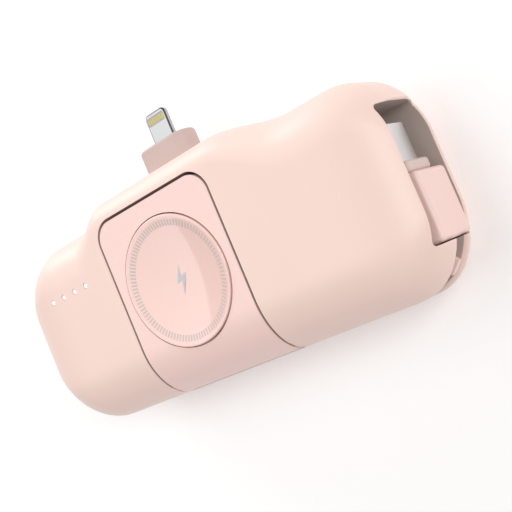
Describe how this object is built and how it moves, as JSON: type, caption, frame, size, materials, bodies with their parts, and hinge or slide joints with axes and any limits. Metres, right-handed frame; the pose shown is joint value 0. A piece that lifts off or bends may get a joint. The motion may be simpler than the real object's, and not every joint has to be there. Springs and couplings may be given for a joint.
{
  "type": "power bank",
  "caption": "Rounded pocket power bank with a flip-up watch charging pad, a fixed phone plug on a raised hump and a short cable plug stowed in its end.",
  "frame": {"origin": "point of the flat back face under the middle of the housing, with the bank lying on its back", "axes": "+X along the length towards the bay of the cable plug, +Y the way the phone plug points, +Z out of the front face"},
  "size_m": [0.1213, 0.0654, 0.0293],
  "materials": {
    "shell": "fine satin moulding",
    "panel": "smooth satin-gloss moulding",
    "disc": "polished",
    "seat": "soft satin",
    "grip": "satin",
    "plug_metal": "nickel plated",
    "contacts": "gold plated",
    "steel": "plain",
    "copper": "enamelled wire",
    "ferrite": "sintered",
    "board": "solder mask",
    "black_plastic": "moulded",
    "white_plastic": "moulded",
    "cell_wrap": "shrink sleeve",
    "cable": "soft jacket",
    "lamp": "clear moulding"
  },
  "bodies": {
    "housing": {"main_shell": "shell", "back_cover": "shell", "cover_screw_1": "steel", "cover_screw_2": "steel", "cover_screw_3": "steel", "pad_hinge_pin": "steel", "phone_plug_seat": "seat", "phone_plug_tongue": "plug_metal", "phone_plug_contacts_front": "contacts", "phone_plug_contacts_back": "contacts", "plug_cable": "cable", "cable_gland": "cable", "cable_clip": "panel", "battery_cell_lower": "cell_wrap", "battery_cell_upper": "cell_wrap", "cell_holder_left": "white_plastic", "cell_holder_right": "white_plastic", "nickel_strip_left": "steel", "nickel_strip_right": "steel", "main_board": "board", "power_inductor": "ferrite", "charge_chip": "black_plastic", "input_socket": "plug_metal", "input_socket_tongue": "black_plastic", "power_switch": "black_plastic", "status_lamp_1": "lamp", "light_pipe_1": "lamp", "status_lamp_2": "lamp", "light_pipe_2": "lamp", "status_lamp_3": "lamp", "light_pipe_3": "lamp", "status_lamp_4": "lamp", "light_pipe_4": "lamp"},
    "watch_pad": {"pad_panel": "panel", "pad_back_plate": "white_plastic", "charge_disc": "disc", "charge_coil": "copper", "ferrite_sheet": "ferrite", "centre_magnet": "steel", "pad_board": "board"},
    "cable_plug": {"cable_plug_grip": "grip", "cable_plug_collar": "grip", "cable_plug_shell": "plug_metal", "cable_plug_core": "black_plastic"},
    "power_button": {"power_button": "shell"}
  },
  "joints": [
    {"name": "watch_pad_flip", "type": "hinge", "parent": "housing", "child": "watch_pad", "pos_m": [-0.00185, -0.02784, 0.0195], "axis": [1, 0, 0], "range_deg": [0, 85]},
    {"name": "cable_plug_swing", "type": "hinge", "parent": "housing", "child": "cable_plug", "pos_m": [0.05895, -0.0229, 0.0145], "axis": [0, 0, -1], "range_deg": [0, 90]},
    {"name": "power_button_press", "type": "slide", "parent": "housing", "child": "power_button", "axis": [0, -1, 0], "range_m": [0, 0.0006], "stiffness_N_per_m": 800}
  ]
}
